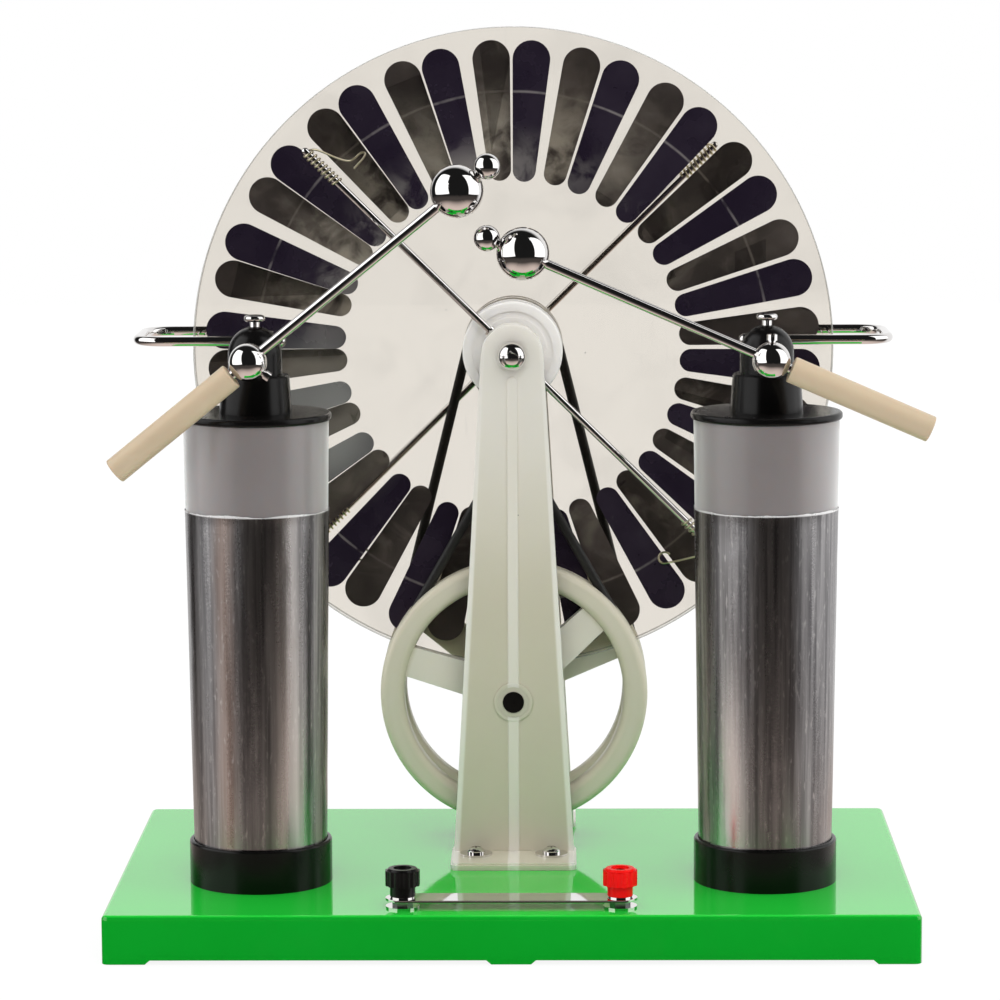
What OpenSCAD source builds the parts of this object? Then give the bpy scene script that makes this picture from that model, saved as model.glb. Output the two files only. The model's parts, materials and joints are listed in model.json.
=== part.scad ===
// Electrostatic generator: two discs that turn in opposite ways, two storage jars,
// a belt drive with a hand crank, and two discharge rods that swing and slide.
// The table is at z = 0, the front of the machine faces -Y and +X is its right.

/* [Base] */
// Width of the base, left to right
base_w = 330; // [320:1:345]
// Depth of the base, front to back
base_d = 210; // [206:1:225]
// Height of the base
base_h = 20; // [19.5:0.5:21]

/* [Discs] */
// Height of the disc axle above the table
axle_z = 235; // [234:0.5:236]
// Diameter of each disc
disc_d = 274; // [270:1:275]
// Thickness of each disc
disc_t = 2.5; // [2:0.1:3]
// Clear gap between the two discs
disc_gap = 3.5; // [3:0.1:4]
// Depth of the plane half way between the discs
mid_y = 38.5; // [38:0.5:39]
// Number of metal foil sectors on each disc
sector_count = 20; // [16:2:22]

/* [Posts] */
// Depth of the front face of the front post
post_y = 2; // [1.5:0.1:2.5]
// Thickness of each post, front to back
post_t = 12; // [11:0.1:12.1]
// Width of each post at its foot
post_w = 51; // [48:1:52]

/* [Drive] */
// Height of the crank shaft above the table
shaft_z = 87.5; // [86:0.5:89]
// Outer radius of each drive wheel
wheel_r = 57.4; // [56:0.1:58]
// Thickness of the round belts
belt_d = 4.2; // [3.6:0.1:4.4]
// Distance from the crank shaft to the crank pin
crank_len = 48; // [44:1:49]

/* [Jars] */
// Distance of the axis of each jar from the middle of the machine
jar_x = 105; // [104:0.5:106]
// Depth of the axes of the jars
jar_y = -38; // [-39:0.5:-37]
// Outer radius of a bottle at its top
jar_r = 30; // [29:0.1:30.2]
// Height of the rim of a bottle above the base
jar_h = 193; // [190:1:194]

/* [Discharge rods] */
// Depth of the plane that the discharge rods swing in
rod_y = -76; // [-78:0.5:-75.5]
// Height of the ball joints above the table
joint_z = 240.5; // [240:0.5:241]
// Slope of the left rod
left_angle = 39; // [36:0.5:42]
// Slope of the right rod
right_angle = 23.5; // [21:0.5:25]
// Distance from a joint to its large ball
ball_reach = 108.5; // [107:0.5:109]
// Radius of a large ball
ball_r = 10.7; // [10:0.1:11]

/* [Hidden] */
$fn = 64;

// Colours of the finishes
green = [0.06, 0.62, 0.18];
milk = [0.86, 0.87, 0.82];
frost = [0.82, 0.82, 0.84];
foil = [0.72, 0.73, 0.74];
chrome = [0.8, 0.8, 0.82];
steel = [0.6, 0.61, 0.63];
brass = [0.78, 0.66, 0.36];
black = [0.05, 0.05, 0.055];
acrylic = [0.86, 0.84, 0.82];
beige = [0.8, 0.73, 0.6];
red = [0.85, 0.05, 0.04];

// A running fit on a radius, and the space between loose neighbours
fit = 0.05;
gap = 0.3;
// Far enough for a cutting shape to pass a face
over = 1;

// Base
base_wall = 2.6;
base_top = 3;
base_corner = 3;
base_edge = 2;
pad_h = 1.7;
pad_corner = 17.5;
pad_mid = 8;
pad_slope = 2;

// Posts
post_top_r = 13.1;
post_face = 3;
post_rim = 2.4;
post_rib = 4.3;
post_cross_rib = 2.2;
rib_proud = 0.8;
rib_top = axle_z - 11;
foot_w = 53;
foot_t = 3;
foot_front = -23;
foot_z = base_h + foot_t;
post_back = post_y + post_t;
boss_r = 8.2;
post_slope = atan((post_w / 2 - post_top_r) / (axle_z - foot_z));

// Fasteners
screw_r = 2;
screw_x = 16;
screw_y = -5;
washer_r = 6.9;
washer_t = 0.8;
nut_t = 2.4;
nut_r = 4.2;
stud_x = 44;
stud_y = -89.5;
stud_r = 2;

// Axle, shaft and belts
axle_r = 3;
shaft_r = 4.5;
bush_r = 6.5;
cap_nut_r = 6.2;
belt_r = belt_d / 2;
wheel_belt_r = wheel_r - 2.9;
pulley_r = 21.3;
pulley_belt_r = 19;
wheel_t = 12;
wheel_y = 27;
wheel_rim = 10.4;
wheel_hub_r = 11;
belt_sides = 8;

// Discs
disc_front = mid_y - disc_gap / 2 - disc_t;
hub_front = 21.5;
hub_nose_r = 8;
sector_t = 0.25;
sector_in = 71.5;
sector_out = 131.5;
sector_tip_r = 8;
sector_root_r = 4.9;
front_phase = -3.9;
rear_phase = 4.1;

// Jars
foot_cup_r = 29.6;
foot_cup_h = 18;
bottle_foot_r = 27.2;
bottle_wall = 1.6;
bottle_foot = 2.4;
foil_t = 0.25;
foil_top = 157.6;
cap_r = 31.2;
cap_t = 3.2;
cap_z = base_h + jar_h;
collar_z = cap_z + cap_t;
head_r = 11.1;
head_step_z = joint_z - 8.8;
stem_r = 2.5;
stem_low = 120;
cross_r = 3;
prong_r = 2.1;
prong_y = 14;
prong_end = 98.1;
prong_bend = 159.5;
prong_corner = 12;
pin_count = 9;
pin_first = 110.4;
pin_last = 136;

// Discharge rods
rod_r = 2;
joint_r = 7.7;
small_ball_r = 5.3;
small_ball_gap = 15.6;
handle_r = 5.4;
handle_start = 8.6;
handle_end = 70;

// Neutral rods and their brushes
neutral_y = 17.4;
neutral_angle = 135.5;
neutral_boss_r = 9;
neutral_len = 122;
neutral_r = 1.5;
coil_turns = 9;
coil_pitch = 2.05;
coil_wire = 0.45;
coil_gap = 0.17;
// The wire from the end of each coil to its hook: outwards, towards the disc, and with its turn
upper_tail = [
    [-0.1, 0.3, 1.3], [-1.4, 1.5, 3], [-4, 3.5, 4.3], [-7.4, 6, 5.4], [-10.8, 8.8, 6.6], [-13.6, 11.2, 7.9],
    [-15.4, 12.9, 9.4], [-16.1, 13.7, 11.6], [-16.2, 13.7, 14.2], [-17, 13.7, 15.8], [-18.1, 13.7, 15.6],
    [-18.7, 13.7, 13.8], [-18.8, 13.7, 11], [-18.9, 13.7, 8]
];
lower_tail = [
    [-0.1, 0.3, 1.4], [-0.8, 1.6, 3.6], [-2.2, 3.3, 6.4], [-3.8, 5.5, 9.4], [-5.2, 7.9, 12.3], [-6.4, 10.5, 15],
    [-7.6, 12.7, 17.4], [-8.8, 13.7, 19.4], [-10.4, 13.7, 21.2], [-12.2, 13.7, 21.4], [-13.6, 13.7, 20.2],
    [-13.8, 13.7, 18.4], [-12.6, 13.7, 16.8], [-10.8, 13.7, 16.3]
];

// A cylinder along Y between two depths
module along_y(x, z, from, to, r) {
    translate([x, from, z]) rotate([-90, 0, 0]) cylinder(h = to - from, r = r);
}

// A flat outline stood up in the XZ plane, from one depth to another
module upright(from, to) {
    translate([0, to, 0]) rotate([90, 0, 0]) linear_extrude(to - from) children();
}

// The back half of the machine is the front half turned about the upright through its middle
module turned_to_rear() {
    translate([0, mid_y, 0]) rotate(180) translate([0, -mid_y, 0]) children();
}

// A copy on the left and its mirror image on the right
module both_sides() {
    children();
    mirror([1, 0, 0]) children();
}

// A flat outline with round corners, from circles and squares
module rounded_plate(w, d, r) {
    square([w - 2 * r, d], center = true);
    square([w, d - 2 * r], center = true);
    for (sx = [-1, 1], sy = [-1, 1])
        translate([sx * (w / 2 - r), sy * (d / 2 - r)]) circle(r);
}

function unit(v) = v / norm(v);

// Rings of points round a path; each ring stands square to the path, turned to face away from its ref
function tube_points(path, r, sides, refs, closed) = [
    for (i = [0 : len(path) - 1])
        let (n = len(path),
             before = closed ? path[(i + n - 1) % n] : path[max(i - 1, 0)],
             after = closed ? path[(i + 1) % n] : path[min(i + 1, n - 1)],
             along = unit(after - before),
             u = unit(cross(along, refs[i])),
             w = cross(along, u))
        for (k = [0 : sides - 1])
            let (a = 360 * (k + 0.5) / sides) path[i] + r * (cos(a) * u + sin(a) * w)
];

function tube_walls(rings, sides, closed) = [
    for (i = [0 : rings - (closed ? 1 : 2)], k = [0 : sides - 1])
        let (j = (i + 1) % rings, m = (k + 1) % sides)
        for (face = [[i * sides + k, i * sides + m, j * sides + m], [i * sides + k, j * sides + m, j * sides + k]])
            face
];

// Least gap between parts of a tube that are at least five rings apart
function least_gap(path, r) = min([
    for (i = [0 : len(path) - 6], j = [i + 5 : len(path) - 1]) norm(path[i] - path[j])
]) - 2 * r;

// A round tube swept along a path of points
module tube(path, r, sides, refs, closed = false) {
    n = len(path);
    ends = closed ? [] : [
        [for (k = [sides - 1 : -1 : 0]) k],
        [for (k = [0 : sides - 1]) (n - 1) * sides + k]
    ];
    polyhedron(tube_points(path, r, sides, refs, closed), concat(tube_walls(n, sides, closed), ends));
}

// Section through an edge of the base: square inside, rounded along the top
module base_edge_section() {
    square([base_corner, base_h - base_edge]);
    square([base_corner - base_edge, base_h]);
    translate([base_corner - base_edge, base_h - base_edge]) intersection() {
        circle(base_edge);
        square(base_edge);
    }
}

module base_block() {
    flat_w = base_w - 2 * base_corner;
    flat_d = base_d - 2 * base_corner;
    translate([-flat_w / 2, -flat_d / 2, 0]) cube([flat_w, flat_d, base_h]);
    for (turn = [0, 180]) rotate(turn) {
        translate([flat_w / 2, flat_d / 2, 0]) rotate([90, 0, 0]) linear_extrude(flat_d) base_edge_section();
        rotate(90) translate([flat_d / 2, flat_w / 2, 0]) rotate([90, 0, 0])
            linear_extrude(flat_w) base_edge_section();
        translate([flat_w / 2, flat_d / 2, 0]) rotate_extrude(angle = 90) base_edge_section();
        rotate(90) translate([flat_d / 2, flat_w / 2, 0]) rotate_extrude(angle = 90) base_edge_section();
    }
}

// Relief under the skirt between two foot pads, with slanted ends
module skirt_relief(from, to) {
    polygon([[from, -over], [to, -over], [to, 0], [to - pad_slope, pad_h], [from + pad_slope, pad_h], [from, 0]]);
}

module base_ribs() {
    low = base_h - base_top - 3;
    for (y = [22, 56]) translate([-base_w / 2 + over, y, low]) cube([base_w - 2 * over, 1.8, 4]);
    for (x = [-62, 62]) translate([x - 0.9, 5, low]) cube([1.8, base_d / 2 - 6, 4]);
    for (x = [-138, 138]) translate([x - 0.9, -base_d / 2 + over, low]) cube([1.8, base_d - 2 * over, 4]);
    for (sx = [-1, 1], y = [screw_y, 2 * mid_y - screw_y])
        translate([sx * screw_x, y, low + 1.2]) cylinder(h = 3, r = 5);
}

// Open-bottomed moulded tray that stands on six pads of its skirt and a foot under its middle
module base_tray() color(green) difference() {
    union() {
        difference() {
            base_block();
            translate([-base_w / 2 + base_wall, -base_d / 2 + base_wall, -over])
                cube([base_w - 2 * base_wall, base_d - 2 * base_wall, base_h - base_top + over]);
        }
        base_ribs();
        cylinder(h = base_h - 1, r1 = 5.5, r2 = 7);
    }
    for (s = [-1, 1]) {
        upright(s * base_d / 2 - 4, s * base_d / 2 + 4) both_halves_relief(base_w / 2);
        translate([s * base_w / 2, 0, 0]) rotate(90) upright(-4, 4) both_halves_relief(base_d / 2);
    }
    for (sx = [-1, 1]) {
        for (y = [screw_y, 2 * mid_y - screw_y])
            translate([sx * screw_x, y, 0]) cylinder(h = base_h + over, r = screw_r + 0.1);
        translate([sx * jar_x, jar_y, 0]) cylinder(h = base_h + over, r = screw_r + 0.1);
        translate([sx * stud_x, stud_y, 0]) cylinder(h = base_h + over, r = stud_r + 0.1);
    }
}

module both_halves_relief(half) {
    skirt_relief(-half + pad_corner, -pad_mid);
    skirt_relief(pad_mid, half - pad_corner);
}

// Flat strips under the base that join the foot of each jar to its binding post
module earth_strips() color(brass) both_sides() {
    reach = [jar_x - stud_x, jar_y - stud_y];
    translate([-stud_x, stud_y, base_h - base_top - 0.9]) rotate(atan2(reach.y, -reach.x)) difference() {
        linear_extrude(0.6) union() {
            translate([0, -4]) square([norm(reach), 8]);
            circle(4);
            translate([norm(reach), 0]) circle(4);
        }
        translate([0, 0, -over]) cylinder(h = 3, r = stud_r + 0.1);
        translate([norm(reach), 0, -over]) cylinder(h = 3, r = screw_r + 0.1);
    }
}

// Pan head with a cross recess, head at the origin and shank pointing down
module pan_screw(len) {
    difference() {
        union() {
            rotate_extrude() intersection() {
                translate([0, -2.2]) circle(5);
                square([3.8, 4]);
            }
            translate([0, 0, -len]) cylinder(h = len + 0.5, r = screw_r);
        }
        for (turn = [0, 90]) rotate(turn) translate([-1.9, -0.4, 1.5]) cube([3.8, 0.8, 3]);
    }
}

module base_screws() color(chrome) {
    for (sx = [-1, 1]) {
        for (y = [screw_y, 2 * mid_y - screw_y])
            translate([sx * screw_x, y, foot_z + washer_t]) pan_screw(foot_z + washer_t - 10.6);
        translate([sx * jar_x, jar_y, base_h - base_top - 0.95]) rotate([180, 0, 0]) pan_screw(5.4);
    }
}

module washer(r_out, r_in, t) {
    linear_extrude(t) difference() {
        circle(r_out);
        circle(r_in);
    }
}

module base_washers() color(chrome) for (sx = [-1, 1]) {
    for (y = [screw_y, 2 * mid_y - screw_y]) translate([sx * screw_x, y, foot_z]) washer(washer_r, 2.2, washer_t);
    translate([sx * stud_x, stud_y, base_h]) washer(washer_r, 2.2, washer_t);
}

module hex_nut(r_in) {
    linear_extrude(nut_t) difference() {
        circle(nut_r, $fn = 6);
        circle(r_in);
    }
}

module base_nuts() color(steel) for (sx = [-1, 1]) {
    for (y = [screw_y, 2 * mid_y - screw_y])
        translate([sx * screw_x, y, base_h - base_top - 1.8 - nut_t]) hex_nut(screw_r + 0.02);
    translate([sx * stud_x, stud_y, base_h + washer_t]) hex_nut(stud_r + 0.02);
    translate([sx * stud_x, stud_y, base_h - base_top - 0.95 - nut_t]) hex_nut(stud_r + 0.02);
}

// Outline of a post: straight tapered sides that run into a round top, drawn in by inset
module post_outline(inset, low) {
    r = post_top_r - inset;
    top = [r * cos(post_slope), axle_z + r * sin(post_slope)];
    half = top.x + (top.y - low) * tan(post_slope);
    polygon([[half, low], top, [-top.x, top.y], [-half, low]]);
    translate([0, axle_z]) circle(r);
}

// Hollows in the back of a post, between its rim, its ribs and its two bosses
module post_pockets() {
    difference() {
        post_outline(post_rim, foot_z);
        translate([-post_rib / 2, 0]) square([post_rib, axle_z]);
        for (z = [44, 66, 110, 134, 158, 182, 206])
            translate([-post_w, z]) square([2 * post_w, post_cross_rib]);
        translate([0, axle_z]) circle(8);
        translate([0, shaft_z]) circle(10);
    }
}

module post_foot() {
    depth = post_back - foot_front;
    translate([0, foot_front + depth / 2, base_h]) {
        linear_extrude(foot_t - 0.8) rounded_plate(foot_w, depth, 3);
        linear_extrude(foot_t) rounded_plate(foot_w - 1.2, depth - 1.2, 2.4);
    }
}

module post() color(milk) difference() {
    union() {
        difference() {
            upright(post_y, post_back) post_outline(0, base_h);
            upright(post_y + post_face, post_back + over) post_pockets();
        }
        post_foot();
        upright(post_y - rib_proud, post_y) {
            translate([-post_rib / 2, foot_z]) square([post_rib, rib_top - foot_z]);
            translate([0, rib_top]) circle(post_rib / 2);
        }
        along_y(0, shaft_z, post_y - 1, post_y, boss_r);
    }
    along_y(0, axle_z, post_y - over, post_back + over, axle_r + 0.02);
    along_y(0, shaft_z, post_y - 2, post_back + over, bush_r + 0.02);
    for (sx = [-1, 1]) translate([sx * screw_x, screw_y, base_h - over]) cylinder(h = foot_t + 2, r = screw_r + 0.1);
}

module front_post() post();
module rear_post() turned_to_rear() post();

// Fixed steel axle that both discs turn on
module disc_axle() color(steel)
    along_y(0, axle_z, post_y - 5.2, 2 * mid_y - post_y + 5.2, axle_r);

module cap_nut() {
    translate([0, post_y, axle_z]) rotate([90, 0, 0]) rotate_extrude() difference() {
        union() {
            square([cap_nut_r, 1.8]);
            translate([0, 1.8]) intersection() {
                circle(cap_nut_r);
                square(cap_nut_r);
            }
        }
        square([axle_r + 0.02, 5.4]);
    }
}

module axle_cap_nuts() color(chrome) {
    cap_nut();
    turned_to_rear() cap_nut();
}

// Rings that keep the moving parts on the axle apart
module axle_spacers() color(steel) {
    for (span = [[20.7, 21.3], [disc_front + disc_t + 0.25, disc_front + disc_t + disc_gap - 0.25],
                 [2 * mid_y - 21.3, 2 * mid_y - 20.7]])
        difference() {
            along_y(0, axle_z, span[0], span[1], 5.5);
            along_y(0, axle_z, span[0] - over, span[1] + over, axle_r + 0.02);
        }
}

module shaft_bush() difference() {
    union() {
        along_y(0, shaft_z, post_y - 1, post_back, bush_r);
        along_y(0, shaft_z, post_back, post_back + 1.4, bush_r + 2.5);
    }
    along_y(0, shaft_z, post_y - 2, post_back + 3, shaft_r + fit);
}

module shaft_bushes() color(milk) {
    shaft_bush();
    turned_to_rear() shaft_bush();
}

// Centre line of a belt: round the wheel, up one strand, over the pulley and down the other.
// A crossed belt leaves both pulleys on the other side, and its strands pass in front and behind.
function belt_path(crossed) =
    let (rise = axle_z - shaft_z,
         side = crossed ? -1 : 1,
         lean = asin((wheel_belt_r - side * pulley_belt_r) / rise),
         strand = rise * cos(lean),
         meet = strand * wheel_belt_r / (wheel_belt_r + pulley_belt_r),
         low = [for (i = [0 : 28]) let (a = 180 - lean + (180 + 2 * lean) * i / 28)
                [wheel_belt_r * cos(a), 0, shaft_z + wheel_belt_r * sin(a)]],
         high_turn = crossed ? -(180 + 2 * lean) : 180 - 2 * lean,
         high_from = crossed ? 180 + lean : lean,
         high = [for (i = [0 : 24]) let (a = high_from + high_turn * i / 24)
                 [pulley_belt_r * cos(a), 0, axle_z + pulley_belt_r * sin(a)]])
    concat(low,
           strand_points(low[28], high[0], strand, meet, crossed ? 1 : 0),
           high,
           strand_points(high[24], low[0], strand, strand - meet, crossed ? -1 : 0));

// Points inside one strand, pushed to one side where the other strand crosses it
function strand_points(from, to, strand, meet, side) = [
    for (i = [1 : 11])
        let (s = strand * i / 12, near = max(0, 1 - abs(s - meet) / 25))
        from + (to - from) * i / 12 + [0, side * (belt_r + 0.3) * pow(sin(90 * near), 2), 0]
];

module belt(crossed, y) {
    path = belt_path(crossed);
    translate([0, y, 0]) tube(path, belt_r, belt_sides, [for (p = path) [0, 1, 0]], closed = true);
}

module front_belt() color(black) belt(true, wheel_y);
module rear_belt() color(black) belt(false, 2 * mid_y - wheel_y);

// Outer radius of a bottle at a height above the base
function bottle_r(h) = bottle_foot_r + (jar_r - bottle_foot_r) * h / jar_h;

// A thin sleeve that follows the taper of a bottle
module sleeve(low, high, out, in) {
    rotate_extrude() polygon([
        [bottle_r(low) + out, low], [bottle_r(high) + out, high],
        [bottle_r(high) + in, high], [bottle_r(low) + in, low]
    ]);
}

module at_jar() translate([-jar_x, jar_y, base_h]) children();

// Cup that the bottle stands in, screwed down from below
module jar_foot() color(black) at_jar() difference() {
    rotate_extrude() difference() {
        union() {
            square([foot_cup_r, foot_cup_h - 1]);
            square([foot_cup_r - 1, foot_cup_h]);
            translate([foot_cup_r - 1, foot_cup_h - 1]) circle(1);
        }
        translate([0, 2]) square([bottle_r(foot_cup_h) + foil_t + 0.25, foot_cup_h]);
    }
    translate([0, 0, -over]) cylinder(h = 4, r = screw_r + 0.05);
}

module bottle() color(frost) at_jar() rotate_extrude() polygon([
    [0, bottle_foot], [bottle_r(bottle_foot), bottle_foot], [bottle_r(jar_h), jar_h],
    [bottle_r(jar_h) - bottle_wall, jar_h], [bottle_r(bottle_foot + 2) - bottle_wall, bottle_foot + 2],
    [0, bottle_foot + 2]
]);

module outer_foil() color(foil) at_jar() sleeve(bottle_foot + 0.3, foil_top, foil_t + 0.02, 0.02);
module inner_foil() color(foil) at_jar()
    sleeve(bottle_foot + 3, foil_top - 4, -bottle_wall - 0.02, -bottle_wall - foil_t - 0.02);

module jar_cap() color(black) at_jar() difference() {
    rotate_extrude() {
        translate([0, jar_h]) square([cap_r - 1.2, cap_t]);
        translate([0, jar_h + 1.2]) square([cap_r, cap_t - 2.4]);
        for (z = [1.2, cap_t - 1.2]) translate([cap_r - 1.2, jar_h + z]) circle(1.2);
        translate([0, jar_h - 9]) square([bottle_r(jar_h - 9) - bottle_wall - 0.15, 9.5]);
    }
    translate([0, 0, jar_h - 10]) cylinder(h = 20, r = stem_r + 0.02);
    translate([0, 0, jar_h - 9 - over]) difference() {
        cylinder(h = 7, r = bottle_r(jar_h - 9) - bottle_wall - 2.2);
        cylinder(h = 7, r = stem_r + 2.5);
    }
}

// Rod that carries the charge down to the inner foil, with a sprung cross bar at its end
module jar_stem() {
    reach = bottle_r(stem_low - base_h) - bottle_wall - foil_t - 0.05;
    translate([-jar_x, jar_y, stem_low]) {
        cylinder(h = joint_z - cross_r - 0.05 - stem_low, r = stem_r);
        translate([-reach, 0, 2]) rotate([0, 90, 0]) cylinder(h = 2 * reach, r = 0.9);
    }
}

module inner_foils() both_sides() inner_foil();
module jar_stems() color(chrome) both_sides() jar_stem();

// Collar, neck and dome in one moulding, with a cross hole for the rod
module jar_head() color(black) difference() {
    translate([-jar_x, jar_y, 0]) rotate_extrude() {
        polygon([[0, collar_z], [15, collar_z], [14, head_step_z - 0.6], [13.4, head_step_z], [0, head_step_z]]);
        translate([0, head_step_z - over]) square([head_r, joint_z - head_step_z + over]);
        translate([0, joint_z]) intersection() {
            circle(head_r);
            square(head_r);
        }
    }
    along_y(-jar_x, joint_z, jar_y - 20, jar_y + 20, cross_r + 0.02);
    translate([-jar_x, jar_y, joint_z]) cylinder(h = 20, r = screw_r + 0.02);
    translate([-jar_x, jar_y, collar_z - over]) cylinder(h = joint_z - collar_z + over, r = stem_r + 0.02);
}

// Thumb screw with a mushroom head that clamps the cross rod
module head_screw() {
    translate([-jar_x, jar_y, joint_z + cross_r]) {
        cylinder(h = 10.6, r = screw_r);
        translate([0, 0, 10]) rotate_extrude() {
            square([3, 2.7]);
            translate([3, 1.35]) intersection() {
                circle(1.35);
                translate([0, -2]) square([2, 4]);
            }
        }
    }
}

module head_screws() color(chrome) both_sides() head_screw();

// Rod through the head: its front end is the pin of the ball joint, its back end holds the collector
module cross_rod() difference() {
    union() {
        along_y(-jar_x, joint_z, rod_y + 2.8, prong_y, cross_r);
        along_y(-jar_x, joint_z, jar_y - 14.5, jar_y - 12.5, cross_r + 1.6);
        translate([-jar_x - 4, prong_y, joint_z]) rotate([0, 90, 0]) cylinder(h = 8, r = 4.3);
    }
    translate([-jar_x - 6, prong_y, joint_z]) rotate([0, 90, 0]) cylinder(h = 12, r = prong_r + 0.02);
}

module cross_rods() color(chrome) both_sides() cross_rod();

// Hairpin of wire round the edge of both discs, with needle points along its inner sides
module collector() color(chrome) {
    straight = prong_bend - prong_corner;
    for (turn = [0, 1]) translate([0, mid_y, joint_z]) mirror([0, turn, 0]) {
        side = prong_y - mid_y;
        translate([-straight, side, 0]) rotate([0, 90, 0]) cylinder(h = straight - prong_end, r = prong_r);
        translate([-prong_end, side, 0]) sphere(prong_r + 0.5);
        translate([-straight, side + prong_corner, 0]) rotate(180) rotate_extrude(angle = 90)
            translate([prong_corner, 0]) circle(prong_r);
        translate([-prong_bend, side + prong_corner, 0]) rotate([-90, 0, 0])
            cylinder(h = -side - prong_corner, r = prong_r);
        for (i = [0 : pin_count - 1])
            translate([-pin_first - (pin_last - pin_first) * i / (pin_count - 1), side, 0])
                rotate([-90, 0, 0]) cylinder(h = disc_front - sector_t - prong_y - 1.6, r1 = 0.7, r2 = 0.3);
    }
}

// Frame of one discharge rod: the joint at the origin and the large ball along +X
module on_rod(side) {
    angle = side < 0 ? left_angle : right_angle;
    translate([side * jar_x, rod_y, joint_z]) mirror([side > 0 ? 1 : 0, 0, 0]) rotate([0, -angle, 0]) children();
}

module along_x(from, to, r) {
    translate([from, 0, 0]) rotate([0, 90, 0]) cylinder(h = to - from, r = r);
}

// Slope of the set screw from its rod, seen from the front
function set_slope(side) = side < 0 ? -75 : 68;

module set_screw_frame(side) on_rod(side) rotate([0, -set_slope(side), 0]) children();

module joint_ball(side) color(chrome) difference() {
    on_rod(side) rotate([0, 90, 0]) rotate(-90) sphere(joint_r);
    on_rod(side) along_x(-10, 10, rod_r + fit);
    along_y(side * jar_x, joint_z, rod_y + 2.6, rod_y + 10, cross_r + fit);
    set_screw_frame(side) along_x(1, 10, 1.52);
}

// How far from its rod's axis a slanting set screw starts, so that its end clears the rod
function set_start(side) = (rod_r + 0.1 + 1.5 * cos(set_slope(side))) / abs(sin(set_slope(side)));

module set_screw(side) color(chrome) set_screw_frame(side) difference() {
    union() {
        along_x(set_start(side), 9, 1.5);
        along_x(8.2, 10.6, 2.1);
    }
    translate([9.8, -3, -0.3]) cube([2, 6, 0.6]);
}

module rod(side) color(chrome) on_rod(side) along_x(-50, ball_reach + small_ball_gap, rod_r);

module spark_balls(side) color(chrome) on_rod(side) difference() {
    union() {
        translate([ball_reach, 0, 0]) sphere(ball_r);
        translate([ball_reach + small_ball_gap, 0, 0]) sphere(small_ball_r);
    }
    along_x(0, ball_reach + small_ball_gap, rod_r + 0.02);
}

module handle(side) color(beige) on_rod(side) difference() {
    rotate([0, -90, 0]) rotate_extrude() {
        translate([0, handle_start]) square([handle_r - 0.6, handle_end - handle_start]);
        translate([0, handle_start + 0.6]) square([handle_r, handle_end - handle_start - 1.2]);
        for (h = [handle_start + 0.6, handle_end - 0.6]) translate([handle_r - 0.6, h]) circle(0.6);
    }
    along_x(-50.2, 0, rod_r + 0.02);
}

// Heights in a binding post, from the nut up
strip_z = base_h + washer_t + nut_t + 0.02;
strip_t = 1;
knob_washer_z = strip_z + strip_t + 0.03;
knob_washer_t = 0.5;
knob_z = knob_washer_z + knob_washer_t + 0.03;
knob_step_z = base_h + 9.2;
knob_top_z = base_h + 16.3;
socket_depth = 7;

module binding_studs() color(brass) for (sx = [-1, 1])
    translate([sx * stud_x, stud_y, 10.8]) cylinder(h = knob_top_z - socket_depth - 11.8, r = stud_r);

module knob_washer(sx) color(chrome) translate([sx * stud_x, stud_y, knob_washer_z])
    washer(4.9, stud_r + fit, knob_washer_t);
module black_knob_washer() knob_washer(-1);
module red_knob_washer() knob_washer(1);

// Insulated nut with a plug socket in its top and flutes round its grip
module knob(sx) {
    wide = 7.05;
    flute = 0.45;
    grip_h = knob_top_z - 0.9 - knob_step_z;
    translate([sx * stud_x, stud_y, 0]) difference() {
        union() {
            translate([0, 0, knob_z]) cylinder(h = knob_step_z - knob_z + 0.5, r = 5.15);
            translate([0, 0, knob_step_z]) linear_extrude(grip_h) difference() {
                circle(wide);
                for (k = [0 : 11]) rotate(30 * k) translate([wide + 1.7 - flute, 0]) circle(1.7);
            }
            translate([0, 0, knob_step_z + grip_h - 0.01])
                cylinder(h = 0.91, r1 = wide - flute - 0.1, r2 = wide - flute - 0.9);
        }
        translate([0, 0, knob_top_z - 0.8]) cylinder(h = 2, r = 3.7);
        translate([0, 0, knob_z - over]) cylinder(h = knob_top_z - socket_depth - knob_z + 0.5, r = stud_r + fit);
        translate([0, 0, knob_top_z - socket_depth + 0.2]) cylinder(h = 12, r = 2.02);
    }
}
module black_knob() color(black) knob(-1);
module red_knob() color(red) knob(1);

// Link between the two binding posts: it turns about the black one and leaves the red one by a slot
module link_strip() color(chrome) translate([0, stud_y, strip_z]) linear_extrude(strip_t) difference() {
    union() {
        square([2 * stud_x, 14], center = true);
        for (sx = [-1, 1]) translate([sx * stud_x, 0]) circle(7);
    }
    translate([-stud_x, 0]) circle(stud_r + fit);
    translate([stud_x, 0]) circle(stud_r + 0.4);
    translate([stud_x - stud_r - 0.4, 0]) square([2 * stud_r + 0.8, 8]);
}

// Crank shaft with a centre mark in its front end
module crank_shaft() color(black) difference() {
    along_y(0, shaft_z, post_y - 1.4, 2 * mid_y - post_y + 9, shaft_r);
    along_y(0, shaft_z, post_y - 2, post_y - 1, 0.6);
}

// Section through the rim of a drive wheel: rounded edges and a round-bottomed belt groove
module rim_section() {
    edge = 3.5;
    low = wheel_r - wheel_rim;
    difference() {
        union() {
            translate([low + edge, -wheel_t / 2]) square([wheel_rim - 2 * edge, wheel_t]);
            translate([low, -wheel_t / 2 + edge]) square([wheel_rim, wheel_t - 2 * edge]);
            for (x = [low + edge, wheel_r - edge], y = [-1, 1]) translate([x, y * (wheel_t / 2 - edge)]) circle(edge);
        }
        translate([wheel_belt_r, 0]) circle(belt_r + gap);
        translate([wheel_belt_r, -belt_r - gap]) square([9, 2 * (belt_r + gap)]);
    }
}

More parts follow.
